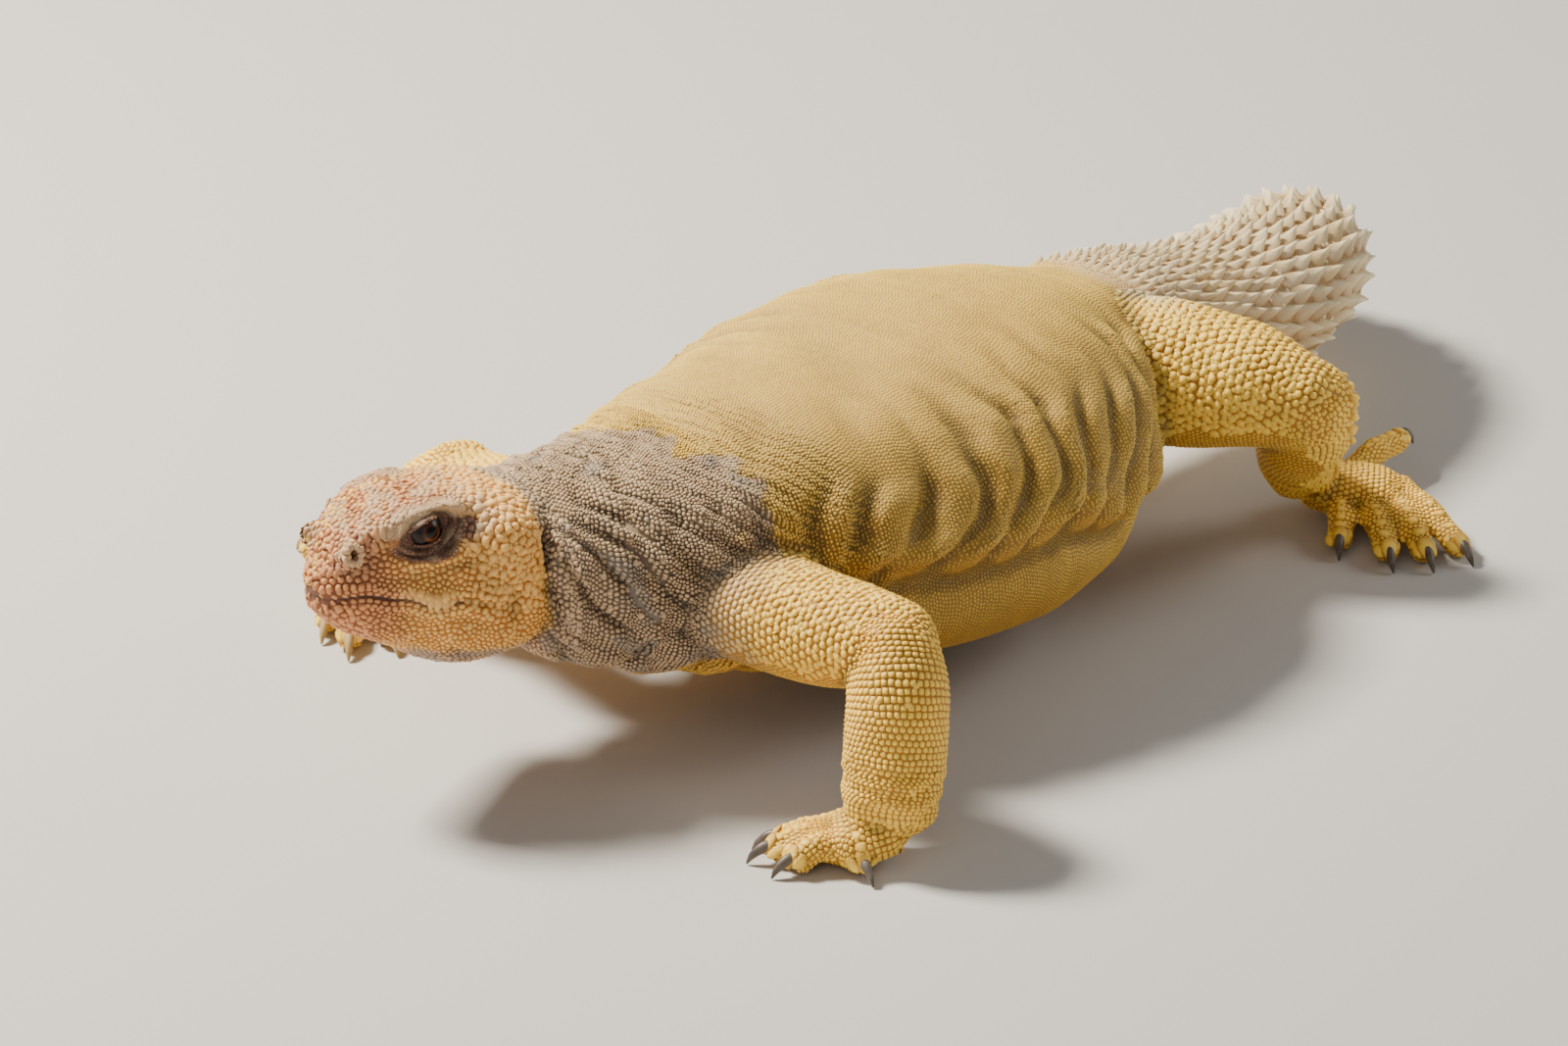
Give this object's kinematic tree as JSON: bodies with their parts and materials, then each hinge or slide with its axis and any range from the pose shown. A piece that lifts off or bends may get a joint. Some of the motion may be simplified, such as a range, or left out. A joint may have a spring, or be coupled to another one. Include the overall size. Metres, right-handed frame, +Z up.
{
  "type": "spiny-tailed lizard (uromastyx), still life-size model",
  "caption": "Yellow spiny-tailed lizard, life size, walking with its head turned to its right and its ringed tail curled round on the floor.",
  "frame": {"origin": "middle of the model's bounding box in plan, at the floor it stands on", "axes": "+X to the animal's left, +Y toward its tail, +Z up from the floor; the head is at -Y"},
  "size_m": [0.2482, 0.4014, 0.088],
  "materials": {
    "scaled_skin": "dry, finely scaled, dusted with pale sand",
    "head_skin": "dry, pebbly scales with crusted dust",
    "tail_scutes": "hard horny scutes, satin",
    "claw_horn": "dark horn, worn satin",
    "eye": "wet, dark brown iris"
  },
  "bodies": {
    "root": {"head": "head_skin", "eye_left": "eye", "eye_right": "eye", "neck": "scaled_skin", "torso": "scaled_skin", "tail_root": "tail_scutes", "tail_middle": "tail_scutes", "tail_bend": "tail_scutes", "tail_end": "tail_scutes", "upper_arm_left": "scaled_skin", "forearm_left": "scaled_skin", "hand_left": "scaled_skin", "claw_hand_left_1": "claw_horn", "claw_hand_left_2": "claw_horn", "claw_hand_left_3": "claw_horn", "claw_hand_left_4": "claw_horn", "claw_hand_left_5": "claw_horn", "upper_arm_right": "scaled_skin", "forearm_right": "scaled_skin", "hand_right": "scaled_skin", "claw_hand_right_1": "claw_horn", "claw_hand_right_2": "claw_horn", "claw_hand_right_3": "claw_horn", "claw_hand_right_4": "claw_horn", "claw_hand_right_5": "claw_horn", "thigh_left": "scaled_skin", "shank_left": "scaled_skin", "foot_left": "scaled_skin", "claw_foot_left_1": "claw_horn", "claw_foot_left_2": "claw_horn", "claw_foot_left_3": "claw_horn", "claw_foot_left_4": "claw_horn", "claw_foot_left_5": "claw_horn", "thigh_right": "scaled_skin", "shank_right": "scaled_skin", "foot_right": "scaled_skin", "claw_foot_right_1": "claw_horn", "claw_foot_right_2": "claw_horn", "claw_foot_right_3": "claw_horn", "claw_foot_right_4": "claw_horn", "claw_foot_right_5": "claw_horn"}
  },
  "joints": []
}
